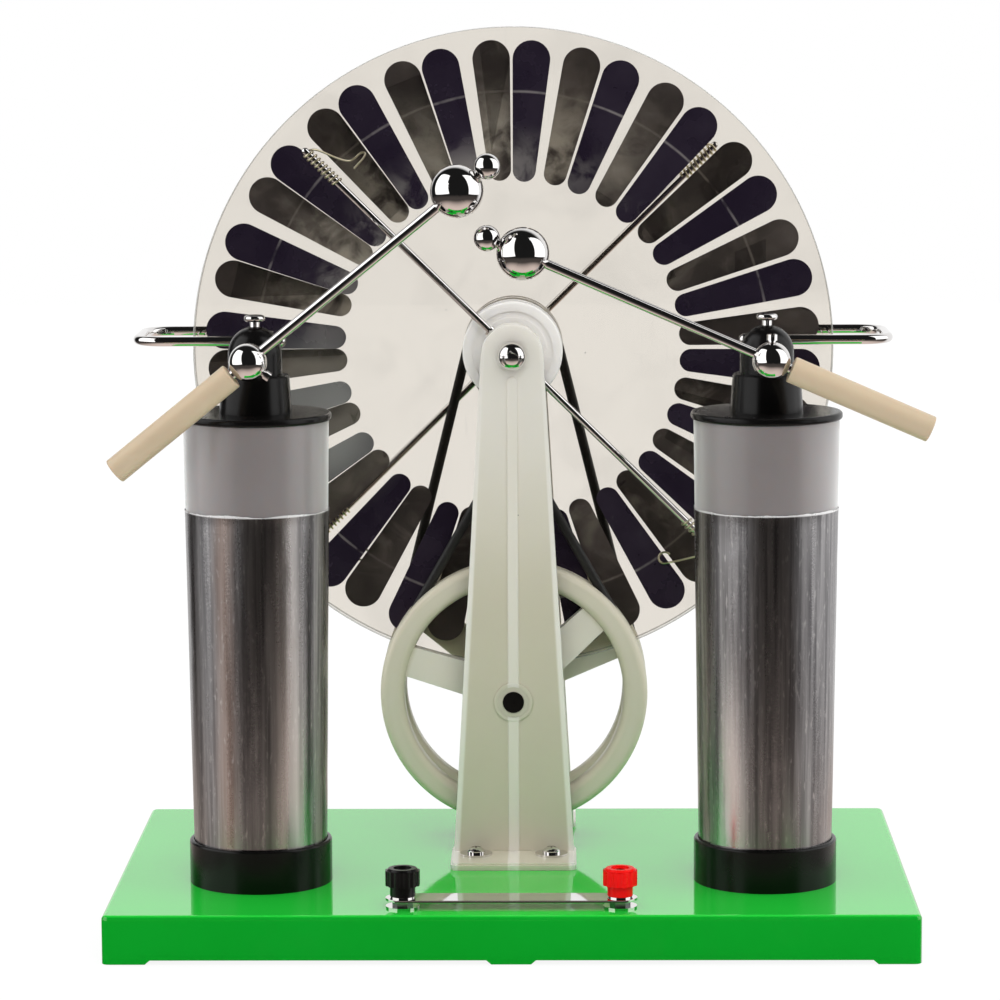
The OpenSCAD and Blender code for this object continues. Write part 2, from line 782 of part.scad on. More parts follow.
module wheel(y, first_spoke) {
    translate([0, y, shaft_z]) rotate([-90, 0, 0]) difference() {
        union() {
            rotate_extrude() rim_section();
            translate([0, 0, -6.9]) cylinder(h = 13.8, r = wheel_hub_r);
            for (k = [0 : 2]) rotate(-first_spoke - 120 * k) {
                translate([0, 0, -3.5]) linear_extrude(7)
                    polygon([[8, -7.3], [wheel_r - wheel_rim + 2, -6.5], [wheel_r - wheel_rim + 2, 6.5], [8, 7.3]]);
            }
        }
        translate([0, 0, -10]) cylinder(h = 20, r = shaft_r + 0.02);
    }
}
module front_wheel() color(milk) wheel(wheel_y, 43);
module rear_wheel() color(milk) wheel(2 * mid_y - wheel_y, 22);

// Crank arm with its pin, hanging straight down behind the rear post
module crank_arm() color(black) {
    back = 2 * mid_y - post_y;
    difference() {
        union() {
            upright(back + 2.6, back + 7.6) {
                translate([0, shaft_z]) circle(8.5);
                translate([0, shaft_z - crank_len]) circle(6);
                polygon([[-8.3, shaft_z - 1], [-5.9, shaft_z - crank_len], [5.9, shaft_z - crank_len], [8.3, shaft_z - 1]]);
            }
            along_y(0, shaft_z, back + 1.6, back + 9.6, 8.5);
            along_y(0, shaft_z - crank_len, back + 7, back + 38, 2.5);
            along_y(0, shaft_z - crank_len, back + 38, back + 39.4, 4);
        }
        along_y(0, shaft_z, back, back + 9, shaft_r + 0.02);
    }
}

// Loose grip on the crank pin
module crank_knob() color(black) {
    back = 2 * mid_y - post_y + 8;
    translate([0, back, shaft_z - crank_len]) rotate([-90, 0, 0]) rotate_extrude() difference() {
        union() {
            square([5.4, 29.6]);
            translate([5.4, 2]) square([1.4, 25.6]);
            for (h = [2, 27.6]) translate([5.4, h]) scale([0.7, 1]) circle(2);
            translate([6.4, 14.8]) scale([0.12, 1]) circle(12);
        }
        square([2.5 + fit, 40]);
    }
}

// Outline of one foil sector along +Y: two circles and the tangents that join them
module sector_outline() {
    far = sector_out - sector_tip_r;
    near = sector_in + sector_root_r;
    lean = asin((sector_tip_r - sector_root_r) / (far - near));
    translate([0, far]) circle(sector_tip_r);
    translate([0, near]) circle(sector_root_r);
    polygon([
        [-sector_root_r * cos(lean), near - sector_root_r * sin(lean)],
        [-sector_tip_r * cos(lean), far - sector_tip_r * sin(lean)],
        [sector_tip_r * cos(lean), far - sector_tip_r * sin(lean)],
        [sector_root_r * cos(lean), near - sector_root_r * sin(lean)]
    ]);
}

module sectors(phase) {
    for (k = [0 : sector_count - 1]) translate([0, 0, axle_z]) rotate([0, -phase - 360 * k / sector_count, 0])
        upright(disc_front - sector_t, disc_front) sector_outline();
}

module disc() difference() {
    along_y(0, axle_z, disc_front, disc_front + disc_t, disc_d / 2);
    along_y(0, axle_z, disc_front - over, disc_front + disc_t + over, hub_nose_r + 0.02);
}

// Hub with the belt groove; its nose passes through the disc
module hub() translate([0, hub_front, axle_z]) rotate([-90, 0, 0]) rotate_extrude() difference() {
    deep = disc_front - hub_front;
    union() {
        square([pulley_r - 0.8, deep]);
        translate([0, 0.8]) square([pulley_r, deep - 0.8]);
        translate([pulley_r - 0.8, 0.8]) circle(0.8);
        square([hub_nose_r, deep + disc_t]);
    }
    translate([0, -over]) square([axle_r + fit, deep + disc_t + 2 * over]);
    translate([14.6, -over]) square([2.6, over + 0.7]);
    translate([pulley_belt_r, wheel_y - hub_front]) circle(belt_r + gap);
    translate([pulley_belt_r, wheel_y - hub_front - belt_r - gap]) square([9, 2 * (belt_r + gap)]);
}

module front_disc() color(acrylic) disc();
module front_sectors() color(foil) sectors(front_phase);
module front_hub() color(milk) hub();
module rear_disc() color(acrylic) turned_to_rear() disc();
module rear_sectors() color(foil) turned_to_rear() sectors(-rear_phase);
module rear_hub() color(milk) turned_to_rear() hub();

// Frame of one neutral rod: the axle at the origin and the rod along X, seen from the front
module on_neutral() translate([0, neutral_y, axle_z]) rotate([0, -neutral_angle, 0]) children();

module neutral_rod() on_neutral() difference() {
    union() {
        rotate([90, 0, 0]) translate([0, 0, -3]) cylinder(h = 6, r = neutral_boss_r);
        for (turn = [0, 180]) rotate([0, turn, 0]) {
            along_x(5, neutral_len, neutral_r);
            translate([neutral_len, 0, 0]) sphere(neutral_r);
            along_x(8, 14, 2.6);
        }
    }
    rotate([90, 0, 0]) translate([0, 0, -5]) cylinder(h = 10, r = axle_r + fit);
}

coil_r = neutral_r + coil_gap + coil_wire;
coil_end = neutral_len - 1;
coil_start = coil_end - coil_turns * coil_pitch;
// A tail is as deep as it takes for its hook to stop just short of the sectors
tail_depth = (disc_front - sector_t - 0.3 - coil_wire - neutral_y - coil_r) / 13.7;

// Coil of wire wound on the rod, that runs out towards the disc and ends in a flat hook
function brush_path(tail) = concat(
    [for (i = [0 : coil_turns * 8])
        let (a = 45 * i) [coil_start + coil_pitch * a / 360, coil_r * cos(a), -coil_r * sin(a)]],
    [for (p = tail) [coil_end + p.x, coil_r + p.y * tail_depth, -p.z]]
);

// Square to the rod along the coil, and square to the disc in the hook
function brush_refs(tail) = concat(
    [for (i = [0 : coil_turns * 8]) [1, 0, 0]],
    [for (i = [0 : len(tail) - 1]) let (turn = min(90, 15 * i)) [cos(turn), sin(turn), 0]]
);

module brush(tail) tube(brush_path(tail), coil_wire, 6, brush_refs(tail));

module brushes() on_neutral() {
    brush(upper_tail);
    rotate([0, 180, 0]) brush(lower_tail);
}

module front_neutral_rod() color(chrome) neutral_rod();
module rear_neutral_rod() color(chrome) turned_to_rear() neutral_rod();
module front_brushes() color(brass) brushes();
module rear_brushes() color(brass) turned_to_rear() brushes();

module left_jar_foot() jar_foot();
module left_bottle() bottle();
module left_outer_foil() outer_foil();
module left_jar_cap() jar_cap();
module left_head() jar_head();
module left_collector() collector();
module right_jar_foot() mirror([1, 0, 0]) jar_foot();
module right_bottle() mirror([1, 0, 0]) bottle();
module right_outer_foil() mirror([1, 0, 0]) outer_foil();
module right_jar_cap() mirror([1, 0, 0]) jar_cap();
module right_head() mirror([1, 0, 0]) jar_head();
module right_collector() mirror([1, 0, 0]) collector();

echo(gap_in_upper_brush = least_gap(brush_path(upper_tail), coil_wire));
echo(gap_in_lower_brush = least_gap(brush_path(lower_tail), coil_wire));
echo(gap_in_crossed_belt = least_gap(belt_path(true), belt_r));

base_tray();
earth_strips();
base_screws();
base_washers();
base_nuts();
front_post();
rear_post();
disc_axle();
axle_cap_nuts();
axle_spacers();
shaft_bushes();
front_belt();
rear_belt();
left_jar_foot();
left_bottle();
left_outer_foil();
left_jar_cap();
left_head();
left_collector();
right_jar_foot();
right_bottle();
right_outer_foil();
right_jar_cap();
right_head();
right_collector();
inner_foils();
jar_stems();
head_screws();
cross_rods();
joint_ball(-1);  // left_joint_ball
set_screw(-1);  // left_set_screw
rod(-1);  // left_rod
spark_balls(-1);  // left_spark_balls
handle(-1);  // left_handle
joint_ball(1);  // right_joint_ball
set_screw(1);  // right_set_screw
rod(1);  // right_rod
spark_balls(1);  // right_spark_balls
handle(1);  // right_handle
binding_studs();
black_knob();
red_knob();
black_knob_washer();
red_knob_washer();
link_strip();
crank_shaft();
front_wheel();
rear_wheel();
crank_arm();
crank_knob();
front_disc();
front_sectors();
front_hub();
rear_disc();
rear_sectors();
rear_hub();
front_neutral_rod();
front_brushes();
rear_neutral_rod();
rear_brushes();
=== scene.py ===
"""Looks of the electrostatic generator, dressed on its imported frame.

Lengths are in metres and +Z is up; the front faces -Y.
"""

import json
import math

import bmesh
import bpy
from mathutils import Matrix, Vector, noise


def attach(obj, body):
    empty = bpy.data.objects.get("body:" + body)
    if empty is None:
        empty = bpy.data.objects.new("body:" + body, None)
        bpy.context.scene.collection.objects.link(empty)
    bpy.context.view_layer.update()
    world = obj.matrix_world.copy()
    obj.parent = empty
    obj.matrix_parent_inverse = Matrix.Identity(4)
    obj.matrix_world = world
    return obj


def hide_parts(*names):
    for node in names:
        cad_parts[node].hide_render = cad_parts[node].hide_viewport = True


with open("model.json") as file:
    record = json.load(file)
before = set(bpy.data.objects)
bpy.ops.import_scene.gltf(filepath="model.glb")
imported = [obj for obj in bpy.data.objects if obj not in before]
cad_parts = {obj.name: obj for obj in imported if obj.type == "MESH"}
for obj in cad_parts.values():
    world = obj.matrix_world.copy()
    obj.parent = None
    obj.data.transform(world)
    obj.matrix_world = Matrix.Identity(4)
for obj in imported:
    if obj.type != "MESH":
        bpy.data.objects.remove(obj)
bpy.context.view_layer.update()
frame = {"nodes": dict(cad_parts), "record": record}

MM = 0.001

# Sizes of the machine that the pieces made here share with its frame, in millimetres
AXLE_Z = 235
SHAFT_Z = 87.5
MID_Y = 38.5
BASE_H = 20
JAR_X = 105
JAR_Y = -38
DISC_R = 137
DISC_FRONT = 34.25
SECTOR_T = 0.25
# Where the brushes wear an arc on the sectors, and the middle of a wheel's rim
WORN_R = 110.4
RIM_R = 52.5
NEUTRAL_Y = 17.4
NEUTRAL_ANGLE = 135.5
# A bottle's height above the base, its foil's two ends and its radii
BOTTLE_H = 193
FOIL_TOP = 157.6
FOIL_FOOT = 2.8
BOTTLE_FOOT_R = 27.2
BOTTLE_TOP_R = 30


# Camera


def aim_camera():
    """The photograph's viewpoint: a long lens from the front, slightly above and to the right."""
    eye = Vector((22.0, -1719.8, 404.2)) * MM
    turn, dip, tilt = math.radians(0.908), math.radians(7.612), math.radians(-0.272)
    ahead = Vector((-math.sin(turn) * math.cos(dip), math.cos(turn) * math.cos(dip), -math.sin(dip)))
    level = Vector((math.cos(turn), math.sin(turn), 0))
    upright = level.cross(ahead)
    right = level * math.cos(tilt) + upright * math.sin(tilt)
    up = upright * math.cos(tilt) - level * math.sin(tilt)
    data = bpy.data.cameras.new("camera")
    data.lens = 148.2
    data.sensor_width = 36
    data.clip_start = 0.05
    data.clip_end = 20
    camera = bpy.data.objects.new("camera", data)
    bpy.context.scene.collection.objects.link(camera)
    camera.matrix_world = Matrix((
        (right.x, up.x, -ahead.x, eye.x),
        (right.y, up.y, -ahead.y, eye.y),
        (right.z, up.z, -ahead.z, eye.z),
        (0, 0, 0, 1),
    ))
    bpy.context.scene.camera = camera


# Shader maths


def feed(tree, socket, value):
    """Puts a number, a colour or another socket into a socket."""
    if isinstance(value, Signal):
        tree.links.new(value.socket, socket)
    elif isinstance(value, tuple) and len(value) == 3 and socket.type == "RGBA":
        socket.default_value = (*value, 1)
    else:
        socket.default_value = value


class Signal:
    """A shader socket on which sums, products and comparisons can be written."""

    def __init__(self, tree, socket):
        self.tree = tree
        self.socket = socket

    def maths(self, operation, *values):
        node = self.tree.nodes.new("ShaderNodeMath")
        node.operation = operation
        for socket, value in zip(node.inputs, values):
            feed(self.tree, socket, value)
        return Signal(self.tree, node.outputs[0])

    def __add__(self, other):
        return self.maths("ADD", self, other)

    __radd__ = __add__

    def __sub__(self, other):
        return self.maths("SUBTRACT", self, other)

    def __rsub__(self, other):
        return self.maths("SUBTRACT", other, self)

    def __mul__(self, other):
        return self.maths("MULTIPLY", self, other)

    __rmul__ = __mul__

    def __gt__(self, other):
        return self.maths("GREATER_THAN", self, other)

    def __lt__(self, other):
        return self.maths("LESS_THAN", self, other)

    def __abs__(self):
        return self.maths("ABSOLUTE", self)

    def root(self):
        return self.maths("SQRT", self)

    def highest(self, other):
        return self.maths("MAXIMUM", self, other)

    def ramp(self, low, high):
        """0 below low, 1 above high and smooth between; low may be the larger one."""
        node = self.tree.nodes.new("ShaderNodeMapRange")
        node.interpolation_type = "SMOOTHSTEP"
        for name, value in (("Value", self), ("From Min", low), ("From Max", high)):
            feed(self.tree, node.inputs[name], value)
        return Signal(self.tree, node.outputs["Result"])

    def near(self, centre, width):
        """1 at centre, falling to 0 at that width on either side."""
        return abs(self - centre).ramp(width, 0)


class Finish:
    """One procedural material: a Principled shader and what feeds it."""

    def __init__(self, name, **sockets):
        self.material = bpy.data.materials.new(name)
        self.material.use_nodes = True
        self.tree = self.material.node_tree
        self.tree.nodes.clear()
        self.output = self.tree.nodes.new("ShaderNodeOutputMaterial")
        self.shader = self.tree.nodes.new("ShaderNodeBsdfPrincipled")
        self.surface = Signal(self.tree, self.shader.outputs[0])
        self.show(self.surface)
        self.place = self.add("ShaderNodeTexCoord", "Object")
        self.set(**sockets)

    def add(self, kind, output, settings=None, **inputs):
        """A node of that kind; spaces in the names of its sockets are written as underscores."""
        node = self.tree.nodes.new(kind)
        for name, value in (settings or {}).items():
            setattr(node, name, value)
        for name, value in inputs.items():
            feed(self.tree, node.inputs[name.replace("_", " ")], value)
        return Signal(self.tree, node.outputs[output])

    def set(self, **sockets):
        for name, value in sockets.items():
            feed(self.tree, self.shader.inputs[name.replace("_", " ")], value)

    def show(self, surface):
        self.tree.links.new(surface.socket, self.output.inputs[0])

    def blend(self, factor, first, second):
        """A shader between two shaders."""
        node = self.tree.nodes.new("ShaderNodeMixShader")
        for socket, value in zip(node.inputs, (factor, first, second)):
            feed(self.tree, socket, value)
        return Signal(self.tree, node.outputs[0])

    def axes(self):
        """The three Object coordinates, in millimetres."""
        node = self.tree.nodes.new("ShaderNodeSeparateXYZ")
        feed(self.tree, node.inputs[0], self.place)
        return [Signal(self.tree, socket) * 1000 for socket in node.outputs]

    def reach(self, height):
        """The distance in millimetres from a line along Y at that height."""
        x, _, z = self.axes()
        return (x * x + (z - height) * (z - height)).root()

    def noise(self, size, detail=3, stretch=(1, 1, 1), distortion=0.0):
        """Noise from 0 to 1 with features of about size millimetres, longer where stretch is small."""
        place = self.add("ShaderNodeMapping", "Vector", Vector=self.place, Scale=stretch)
        return self.add("ShaderNodeTexNoise", "Fac", Vector=place, Scale=1000 / size,
                        Detail=detail, Roughness=0.55, Distortion=distortion)

    def specks(self, spacing, size, share):
        """Small round marks of that size, in a share of the cells of that spacing."""
        cell = self.add("ShaderNodeTexVoronoi", "Distance", {"feature": "F1"},
                        Vector=self.place, Scale=1000 / spacing)
        pick = self.add("ShaderNodeSeparateColor", "Red")
        self.tree.links.new(cell.socket.node.outputs["Color"], pick.socket.node.inputs[0])
        return cell.ramp(size / spacing, 0.6 * size / spacing) * (pick < share)

    def mix(self, factor, first, second):
        """A colour between two colours."""
        node = self.tree.nodes.new("ShaderNodeMix")
        node.data_type = "RGBA"
        # The factor and the two colours; the sockets between them are for other types
        for index, value in ((0, factor), (6, first), (7, second)):
            feed(self.tree, node.inputs[index], value)
        return Signal(self.tree, node.outputs[2])

    def bump(self, height, distance):
        """A normal from heights of 0 to 1 that stand for distance in millimetres."""
        return self.add("ShaderNodeBump", "Normal", Height=height, Distance=distance * MM, Strength=1.0)


# Finishes


def green_moulding():
    finish = Finish("green_moulding", Specular_IOR_Level=0.5, IOR=1.52)
    cloud = finish.noise(70, 2)
    grain = finish.noise(0.9, 2)
    smear = finish.noise(14, 4, stretch=(1, 3, 1))
    specks = finish.specks(34, 0.55, 0.22)
    sides = finish.mix(cloud, (0.0025, 0.31, 0.016), (0.004, 0.36, 0.025))
    # The upper face is painted a paler, livelier green than the sides: painted light for the stronger light
    # it gets from above
    upper = finish.mix(cloud, (0.015, 0.57, 0.042), (0.02, 0.63, 0.05))
    _, _, z = finish.axes()
    tone = finish.mix(z.ramp(BASE_H - 0.8, BASE_H - 0.2), sides, upper)
    finish.set(
        Base_Color=finish.mix(specks, tone, (0.002, 0.02, 0.004)),
        Roughness=0.045 + 0.06 * smear.ramp(0.45, 0.8) + 0.3 * specks,
        Normal=finish.bump(grain + 0.5 * smear, 0.003),
        Coat_Weight=0.15,
        Coat_Roughness=0.03,
    )
    return finish


def milky_moulding(name, lighter=None):
    """Milky plastic; lighter is a function of the finish that says where the moulding is drawn paler, partly
    for thicker walls and partly as painted light.
    """
    finish = Finish(name, Subsurface_Weight=0.35, Subsurface_Scale=0.006, IOR=1.46)
    finish.set(Subsurface_Radius=(1.0, 0.95, 0.8))
    cloud = finish.noise(45, 3)
    grain = finish.noise(0.7, 2)
    flow = finish.noise(9, 3, stretch=(1, 1, 0.25))
    tone = finish.mix(cloud, (0.585, 0.545, 0.425), (0.64, 0.6, 0.48))
    if lighter:
        # Paler where lighter says: partly thicker moulding, partly painted light
        tone = finish.mix(lighter(finish), tone, (0.93, 0.895, 0.85))
    dust = finish.specks(21, 0.35, 0.12)
    finish.set(
        Base_Color=finish.mix(dust * 0.8, tone, (0.2, 0.19, 0.15)),
        Roughness=0.3 + 0.14 * cloud + 0.1 * flow.ramp(0.5, 0.8),
        Normal=finish.bump(grain + 0.8 * flow, 0.012),
        Coat_Weight=0.12,
        Coat_Roughness=0.2,
    )
    return finish


def post_paler_parts(finish):
    """Where a post is drawn paler: its side walls and raised rib, where the moulding is thicker, and its
    upper part towards the axle.
    """
    x, _, z = finish.axes()
    # Half the width of a post, which tapers from its foot to the axle
    half = 25.7 - (z - 23) * (12.2 / (AXLE_Z - 23))
    wall = (half - abs(x)).ramp(3.1, 1.7)
    rib = abs(x).ramp(2.8, 2.0) * z.ramp(AXLE_Z - 4, AXLE_Z - 14)
    return (0.7 * wall).highest(0.5 * rib).highest(0.62 * z.ramp(120, 226))


def wheel_paler_parts(finish):
    """Where a wheel is drawn paler: a little at its rounded rim, more on its spokes."""
    reach = finish.reach(SHAFT_Z)
    return (0.15 * reach.near(RIM_R, 5.5)).highest(0.45 * reach.ramp(RIM_R - 5, RIM_R - 7.5))


def hub_painted_light(finish):
    """A hub, drawn paler all over: partly its milky plastic, partly painted light against the shade it
    stands in.
    """
    return 1.0


def frosted_bottle():
    finish = Finish("frosted_bottle", Sheen_Weight=1.0, Sheen_Roughness=0.5, IOR=1.5)
    cloud = finish.noise(30, 3)
    grain = finish.noise(0.5, 2)
    scuffs = finish.noise(5, 5, stretch=(1, 1, 0.3)).ramp(0.6, 0.75)
    # The dark grey base colour is painted shade: it stands for the dim inside seen through the frosted wall
    finish.set(
        Base_Color=finish.mix(cloud, (0.172, 0.15, 0.148), (0.205, 0.18, 0.178)),
        Roughness=0.33 + 0.12 * cloud + 0.08 * scuffs,
        Normal=finish.bump(grain, 0.008),
        Subsurface_Weight=0.25,
        Subsurface_Scale=0.004,
        Coat_Weight=0.7,
        Coat_Roughness=0.2,
    )
    return finish


def clear_sheet():
    """Clear sheet of a disc: it only dims and warms what is behind it, and is paler at its cut rim."""
    finish = Finish("clear_sheet", IOR=1.49)
    rim = finish.reach(AXLE_Z).ramp(DISC_R - 0.5, DISC_R - 0.15)
    smear = finish.noise(26, 4, distortion=0.6)
    scratches = finish.noise(1.6, 5, stretch=(1, 1, 0.06)).ramp(0.66, 0.75)
    dust = finish.specks(15, 0.5, 0.1)
    finish.set(
        Base_Color=finish.mix(rim, (0.012, 0.011, 0.01), (0.7, 0.7, 0.68)),
        Roughness=0.05 + 0.1 * smear.ramp(0.5, 0.8),
    )
    gloss = finish.add("ShaderNodeFresnel", "Fac", IOR=1.49)
    cover = 0.05 + 0.5 * gloss + 0.02 * smear.ramp(0.45, 0.75) + 0.03 * scratches + 0.25 * dust
    through = finish.add("ShaderNodeBsdfTransparent", "BSDF", Color=(1.0, 0.9858, 0.963))
    finish.show(finish.blend(cover.highest(0.6 * rim), through, finish.surface))
    finish.material.surface_render_method = "BLENDED"
    return finish


def sector_foil(name, outer_is_front):
    """Foil sectors: outside painted near-black, a painted reflection of the dim room, with a worn arc;
    greyer where seen through the sheet, with painted bright reflections on the upper left.
    """
    finish = Finish(name)
    x, y, z = finish.axes()
    reach = finish.reach(AXLE_Z)
    if outer_is_front:
        inner = y > DISC_FRONT - SECTOR_T / 2
    else:
        inner = y < 2 * MID_Y - DISC_FRONT + SECTOR_T / 2
    wobble = finish.noise(40, 2)
    worn = (reach + 2 * wobble).near(WORN_R, 0.9) * finish.noise(12, 3).ramp(0.25, 0.6)
    rubs = finish.noise(11, 5, distortion=1.2).ramp(0.58, 0.82) * reach.ramp(112, 80)
    scratches = finish.noise(1.1, 6, stretch=(1, 1, 0.1)).ramp(0.7, 0.82)
    haze = finish.noise(24, 4).ramp(0.3, 0.8)
    # The near-black purples of the outer face are a painted dark reflection of the room in front
    outside = finish.mix(haze, (0.034, 0.023, 0.046), (0.055, 0.041, 0.068))
    outside = finish.mix((rubs * 0.35 + scratches * 0.12).ramp(0, 1), outside, (0.42, 0.39, 0.36))
    # Pale mottling: real stain, made stronger towards the inner radius as a painted silvery sheen
    stain_and_sheen = finish.noise(17, 5, distortion=0.8).ramp(0.45, 0.75)
    inside = finish.mix(haze, (0.082, 0.071, 0.074), (0.16, 0.142, 0.145))
    inside = finish.mix(stain_and_sheen * (0.25 + 0.75 * reach.ramp(125, 82)), inside, (0.33, 0.31, 0.29))
    # Painted reflections of the spark balls' highlights: bright clouds at the roots of the sectors on the
    # upper left
    cloud = finish.noise(13, 4, distortion=0.5).ramp(0.36, 0.6)
    cloud = cloud * reach.ramp(122, 80) * (z - AXLE_Z - 0.7 * x).ramp(20, 80)
    inside = finish.mix(0.9 * cloud, inside, (0.82, 0.79, 0.73))
    outside = finish.mix(0.45 * cloud * reach.ramp(98, 78), outside, (0.62, 0.58, 0.54))
    tone = finish.mix(inner, outside, inside)
    # Some sectors at the left are drawn pale, in a patch left of and below the axle
    across, up = x + 84, z - 205
    away = (across * across + up * up).root()
    pale = away.ramp(46, 14) * reach.ramp(128, 96)
    tone = finish.mix(pale * 0.85, tone, (0.5, 0.5, 0.48))
    finish.set(
        Base_Color=finish.mix(worn * 0.55, tone, (0.52, 0.48, 0.46)),
        Metallic=0.65 - 0.5 * inner,
        Roughness=0.2 + 0.15 * haze + 0.25 * worn + 0.12 * inner,
        Normal=finish.bump(haze + 0.4 * scratches, 0.02),
    )
    return finish


def jar_foil():
    """Metal foil on a jar: upright streaks, a fine crinkle, and painted reflections: bright strips at the
    front, a brighter foot, a warm band and glints.
    """
    finish = Finish("jar_foil")
    x, y, z = finish.axes()
    streak = finish.noise(2.2, 5, stretch=(1, 1, 0.02))
    crinkle = finish.noise(1.0, 6)
    band = finish.noise(15, 2, stretch=(1, 1, 0.08))
    dull = finish.noise(9, 3, stretch=(1, 1, 0.04)).ramp(0.35, 0.7)
    glint = finish.noise(1.3, 6, stretch=(1, 1, 0.25)).ramp(0.56, 0.74)
    wander = 3 * finish.noise(60, 2)
    # Painted reflections: bright strips at the front of each jar, and a brighter foot mirroring the paper
    front = y < JAR_Y
    left = front * (x + JAR_X + wander).near(15, 9)
    right = front * (x - JAR_X + wander).near(-13, 9) * z.ramp(150, 60)
    low = z.ramp(90, 25)
    painted_reflections = (left.highest(right) + 0.3 * low).ramp(0, 1.1)
    tone = finish.mix(streak.ramp(0.25, 0.75), (0.14, 0.135, 0.14), (0.39, 0.38, 0.385))
    tone = finish.mix(0.75 * painted_reflections, tone, (0.68, 0.645, 0.625))
    # A painted warm reflection in a band at the front of the left jar
    tone = finish.mix(0.5 * front * (x + JAR_X + wander).near(-10, 7), tone, (0.42, 0.29, 0.23))
    # Painted glints on the crinkle
    tone = finish.mix(glint * 0.35, tone, (0.8, 0.77, 0.76))
    # A painted highlight along the folded top edge, paler and less metallic
    fold = z.ramp(BASE_H + FOIL_TOP - 2.1, BASE_H + FOIL_TOP - 1.5)
    finish.set(
        Base_Color=finish.mix(fold, tone, (0.8, 0.79, 0.79)),
        Metallic=1 - 0.7 * fold,
        Roughness=0.2 + 0.14 * dull + 0.06 * crinkle,
        Normal=finish.bump(0.5 * streak + 0.5 * crinkle + 0.7 * band, 0.065),
    )
    return finish


def bright_plating():
    finish = Finish("bright_plating", Metallic=1.0)
    haze = finish.noise(7, 3)
    finish.set(
        Base_Color=finish.mix(haze, (0.72, 0.7, 0.69), (0.8, 0.785, 0.775)),
        Roughness=0.035 + 0.05 * haze.ramp(0.5, 0.85),
    )
    return finish


def turned_steel():
    finish = Finish("turned_steel", Metallic=1.0)
    rings = finish.noise(0.6, 3, stretch=(0.1, 1, 0.1))
    finish.set(
        Base_Color=finish.mix(rings, (0.42, 0.42, 0.43), (0.58, 0.58, 0.59)),
        Roughness=0.24 + 0.16 * rings,
        Normal=finish.bump(rings, 0.01),
    )
    return finish


def bare_brass():
    finish = Finish("bare_brass", Metallic=1.0)
    tarnish = finish.noise(4, 4)
    finish.set(
        Base_Color=finish.mix(tarnish, (0.62, 0.53, 0.33), (0.78, 0.73, 0.58)),
        Roughness=0.2 + 0.2 * tarnish,
    )
    return finish


def black_moulding():
    finish = Finish("black_moulding", IOR=1.5, Specular_IOR_Level=0.22)
    cloud = finish.noise(12, 4)
    grain = finish.noise(0.4, 2)
    finish.set(
        Base_Color=finish.mix(cloud, (0.002, 0.0018, 0.0018), (0.005, 0.0045, 0.0045)),
        Roughness=0.17 + 0.16 * cloud,
        Normal=finish.bump(grain, 0.006),
    )
    return finish


def red_moulding():
    finish = Finish("red_moulding", IOR=1.5, Specular_IOR_Level=0.15)
    cloud = finish.noise(5, 3)
    finish.set(
        Base_Color=finish.mix(cloud, (0.76, 0.002, 0.001), (0.88, 0.004, 0.003)),
        Roughness=0.2 + 0.12 * cloud,
    )
    return finish


def beige_rod():
    finish = Finish("beige_rod", IOR=1.49)
    cloud = finish.noise(20, 3)
    drawn = finish.noise(1.2, 3)
    finish.set(
        Base_Color=finish.mix(cloud, (0.5, 0.39, 0.265), (0.56, 0.45, 0.31)),
        Roughness=0.3 + 0.12 * cloud,
        Normal=finish.bump(drawn, 0.01),
        Subsurface_Weight=0.1,
        Subsurface_Scale=0.003,
    )
    return finish


def belt_rubber():
    finish = Finish("belt_rubber", IOR=1.5)
    dust = finish.noise(3, 4)
    grain = finish.noise(0.35, 2)
    finish.set(
        Base_Color=finish.mix(dust, (0.008, 0.008, 0.008), (0.022, 0.021, 0.02)),
        Roughness=0.42 + 0.2 * dust,
        Normal=finish.bump(grain, 0.02),
    )
    return finish


FINISHES = {
    "green_plastic": green_moulding(),
    "milky_plastic": milky_moulding("milky_moulding"),
    "frosted_bottle": frosted_bottle(),
    "disc_sheet": clear_sheet(),
    "dark_foil": sector_foil("front_sector_foil", True),
    "bright_foil": jar_foil(),
    "black_plastic": black_moulding(),
    "red_plastic": red_moulding(),
    "beige_plastic": beige_rod(),
    "black_rubber": belt_rubber(),
    "chrome_metal": bright_plating(),
    "plain_steel": turned_steel(),
    "brass_metal": bare_brass(),
}
SPECIAL_FINISHES = {
    "front_post": milky_moulding("post_moulding", post_paler_parts),
    "front_wheel": milky_moulding("wheel_moulding", wheel_paler_parts),
    "front_hub": milky_moulding("hub_moulding_painted_light", hub_painted_light),
    "rear_sectors": sector_foil("rear_sector_foil", False),
}
SPECIAL_FINISHES["rear_post"] = SPECIAL_FINISHES["front_post"]
SPECIAL_FINISHES["rear_wheel"] = SPECIAL_FINISHES["front_wheel"]
SPECIAL_FINISHES["rear_hub"] = SPECIAL_FINISHES["front_hub"]


def slot_of(node):
    return next(part["material_slot"] for part in frame["record"]["subparts"] if part["node"] == node)


def body_of(node):
    bodies = frame["record"]["behaviour"]["bodies"]
    return next(name for name, members in bodies.items() if node in members)


def finish_of(node):
    return SPECIAL_FINISHES.get(node, FINISHES[slot_of(node)]).material


def dress_frame():
    """Gives every CAD node its finish."""
    for name, node in frame["nodes"].items():
        node.data.materials.clear()
        node.data.materials.append(finish_of(name))


# Pieces


def put_in_place(name, data, body, *nodes):
    """A finished piece that stands for those CAD nodes, with the finish of the first."""
    piece = bpy.data.objects.new(name, data)
    bpy.context.scene.collection.objects.link(piece)
    data.materials.clear()
    data.materials.append(finish_of(nodes[0]))
    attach(piece, body)
    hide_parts(*nodes)
    slot_of(nodes[0])
    return piece


